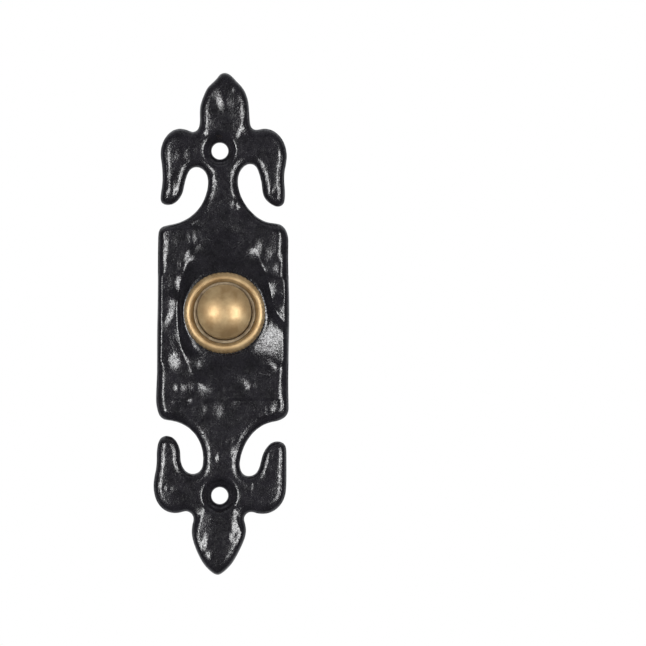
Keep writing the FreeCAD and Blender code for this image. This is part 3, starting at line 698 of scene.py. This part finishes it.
def makeRing():
    look = ringLook
    low, high = millimetres("knurled_ring")
    face, seat, outer = low[1], high[1], high[0]
    crest = look["crestRadius"]
    points = [
        (look["bore"], seat), (look["bore"], face + look["boreDepth"]),
        (look["innerFlat"], face + look["innerDepth"]),
        (crest - look["crestWidth"], face + look["crestDepth"]), (crest, face)]
    for i in range(1, look["bevelRings"] + 1):  # a quarter round that flattens towards the crest
        angle = math.radians(90) * i / look["bevelRings"]
        points.append((crest + (outer - crest) * math.sin(angle),
                       face + look["bevelDepth"] * (1 - math.cos(angle))))
    top = face + look["bevelDepth"]
    bottom = seat - look["rearChamfer"]
    for i in range(1, look["bands"] + 1):
        points.append((outer, top + (bottom - top) * i / look["bands"]))
    points.append((outer - look["rearChamfer"], seat))
    bm = spinProfile(points, look["ridges"] * look["stepsPerRidge"])
    for vert in bm.verts:
        radius = math.hypot(vert.co.x, vert.co.z) / mm
        if radius < look["ridgesFrom"]:
            continue
        angle = math.atan2(vert.co.z, vert.co.x)
        turned = math.radians(look["slant"]) * (vert.co.y / mm - face) / (seat - face)
        phase = (angle - turned) * look["ridges"] / (2 * math.pi)
        groove = 1 - abs(math.sin(math.pi * phase)) ** look["ridgePower"]
        uneven = look["unevenness"] * noise.noise(vert.co / mm * look["unevenScale"])
        depth = look["ridgeDepth"] * min(1, max(0, groove + uneven))
        depth *= smoothStep((radius - look["ridgesFrom"]) / look["ridgesBlend"])
        shrink = 1 - depth / radius
        vert.co.x *= shrink
        vert.co.z *= shrink
    addPiece("ringNut", bm, "polishedBrass", "ring_nut", "knurled_ring", 60)


# the barrel, in millimetres
barrelLook = {
    "steps": 144,
    "wall": 0.85,
    "boreRadius": 7.7,
    "neckRadius": 8.55,
    "front": 0.3,               # front wall: its place along Y and its thickness
    "frontWall": 0.6,
    "frontRound": (0.1, 0.12),
    "bandEnd": 0.45,            # a raised band behind the front, and the start of the side
    "sideStart": 0.55,
    "lipBack": 0.7,             # the lip's front, before the barrel's rear end
    "lipRise": 0.16,
    "lipRound": (0.35, 0.25),
    "groove": 0.12,             # depth of the groove in front of the lip
    "grooveStart": 0.25,        # its start and its bottom, before the lip
    "grooveBottom": 0.12,
    "rounding": 0.1,
    "darkEnd": 0.2,             # the neck's end, which is darker
}


def makeBarrel():
    look = barrelLook
    low, high = millimetres("barrel")
    end, back, outer = low[1], high[1], high[0]
    bore, neck, front = look["boreRadius"], look["neckRadius"], look["front"]
    lip = back - look["lipBack"]
    side = outer - look["lipRise"]
    inside = outer - look["wall"]
    wallBack = front + look["frontWall"]
    points = [
        (bore, end), (neck, end), (neck, front), (outer - look["frontRound"][0], front),
        (outer, front + look["frontRound"][1]), (outer, front + look["bandEnd"]),
        (side, front + look["sideStart"]), (side, lip - look["grooveStart"]),
        (side - look["groove"], lip - look["grooveBottom"]), (outer, lip),
        (outer, back - look["lipRound"][1]), (outer - look["lipRound"][0], back),
        (inside, back), (inside, wallBack), (bore, wallBack)]
    bm = spinProfile(points, look["steps"])
    roundEdges(bm, look["rounding"], angle=35, segments=2)
    for face in bm.faces:
        face.material_index = 1 if face.calc_center_median().y < (end + look["darkEnd"]) * mm else 0
    piece = addPiece("barrelCup", bm, "agedBrass", "bell_plate", "barrel")
    piece.data.materials.append(materials["neckBrass"])


# the ceramic, in millimetres; only what shows behind the barrel is rough and chipped
ceramicLook = {
    "voxel": 0.26,
    "soften": 2,
    "roughFrom": 5.9,           # along Y
    "roughRadius": 8.2,
    "roughSize": 0.5,
    "roughDepth": 0.06,
    "sideWear": 0.03,
    "chipSize": 1.3,
    "chipDepth": 0.42,
    "chipSide": 0.42,           # noise above these levels takes a chip off the side, and off the back
    "chipBack": 0.5,
    "edgeReach": 1.6,
    "edgeRadius": 9,
    "edgeBlend": 1.5,
}


def makeCeramic():
    look = ceramicLook
    back = millimetres("ceramic_base")[1][1]
    bm = remeshNode("ceramic_base", look["voxel"])
    smoothVerts(bm, bm.verts, times=look["soften"])
    for vert in bm.verts:
        y = vert.co.y / mm
        radius = math.hypot(vert.co.x, vert.co.z) / mm
        if y < look["roughFrom"] or radius < look["roughRadius"]:
            continue
        spot = vert.co / mm
        chip = noise.noise(spot / look["chipSize"]) * 0.5 + 0.5
        rough = noise.noise(spot / look["roughSize"]) * look["roughDepth"]
        edge = (smoothStep((y - back + look["edgeReach"]) / look["edgeReach"])
                * smoothStep((radius - look["edgeRadius"]) / look["edgeBlend"]))
        inwards = (look["chipDepth"] * max(0, chip - look["chipSide"]) * edge * 2 + max(0, rough)
                   + look["sideWear"])
        scale = 1 - inwards / radius
        vert.co.x *= scale
        vert.co.z *= scale
        vert.co.y -= look["chipDepth"] * max(0, chip - look["chipBack"]) * edge * mm
    addPiece("ceramicBody", bm, "whiteCeramic", "bell_plate", "ceramic_base", 60)


# the smaller parts: solid, finish, rounding of its edges in millimetres, body and slot
smallParts = {
    "flangeRing": ("push_flange", "brightBrass", 0.08, "push", "brass"),
    "contactDisc": ("contact_disc", "brightBrass", 0.06, "push", "bright_brass"),
    "stemNut": ("disc_nut", "brightBrass", 0.06, "push", "bright_brass"),
    "blockUpper": ("terminal_block_upper", "agedBrass", 0.18, "bell_plate", "aged_brass"),
    "blockLower": ("terminal_block_lower", "agedBrass", 0.18, "bell_plate", "aged_brass"),
    "studNutUpper": ("terminal_nut_upper", "agedBrass", 0.08, "bell_plate", "aged_brass"),
    "studNutLower": ("terminal_nut_lower", "agedBrass", 0.08, "bell_plate", "aged_brass"),
    "clampScrewUpper": ("terminal_screw_upper", "agedBrass", 0.12, "upper_screw", "aged_brass"),
    "clampScrewLower": ("terminal_screw_lower", "agedBrass", 0.12, "lower_screw", "aged_brass"),
}
# solids whose shape is right as it is
keptNodes = {"gasket": "darkFibre", "insulating_washer": "brownBoard"}


def makeSmallParts():
    for name, (node, finish, edge, body, slot) in smallParts.items():
        bm = copyNode(node)
        bmesh.ops.dissolve_limit(bm, angle_limit=math.radians(1), verts=bm.verts, edges=bm.edges)
        roundEdges(bm, edge, angle=40, segments=2)
        addPiece(name, bm, finish, body, node)
    for node, finish in keptNodes.items():
        nodes[node].data.materials.clear()
        nodes[node].data.materials.append(materials[finish])
    print("small parts made:", len(smallParts))


def makeSpring():
    coil = addPiece("coilSpring", copyNode("return_spring"), "springWire", "bell_plate",
                    "return_spring", 80)
    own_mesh(coil)


makeCamera()
makeStudio()
for finishName in finishes:
    makeFinish(finishName)
makePlate()
makeCap()
makeRing()
makeBarrel()
makeCeramic()
makeSmallParts()
makeSpring()
